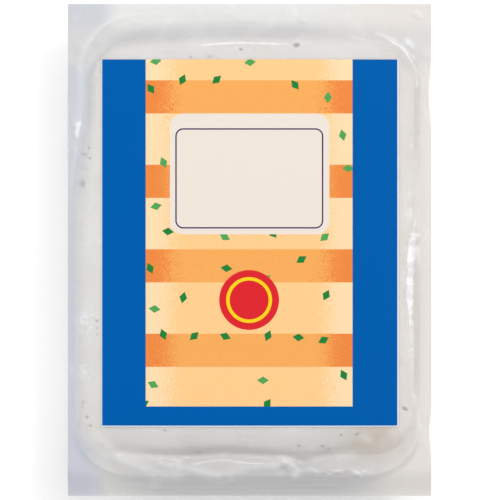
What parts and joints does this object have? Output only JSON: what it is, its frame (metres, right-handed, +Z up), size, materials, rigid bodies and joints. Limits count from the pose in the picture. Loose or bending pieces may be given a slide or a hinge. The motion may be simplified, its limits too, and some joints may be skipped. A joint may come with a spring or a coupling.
{
  "type": "vacuum-packed halloumi",
  "caption": "Folded block of halloumi sealed flat in clear film with a rim all round and a printed label on its face, lying on its back.",
  "frame": {"origin": "middle of the pack's outline, on the surface that the pack lies on", "axes": "+X to the right of the label, +Y to the head of the label, +Z up out of the label's face"},
  "size_m": [0.096, 0.13, 0.0234],
  "materials": {
    "film": "clear glossy film, vacuum-sealed over off-white cheese",
    "print": "smooth printed label, blue with peach and orange stripes",
    "cheese": "damp off-white cheese with soft light spread under its surface",
    "mint": "dull dark green flecks of dried mint"
  },
  "bodies": {
    "root": {"pack": "film", "label": "print"}
  },
  "joints": []
}
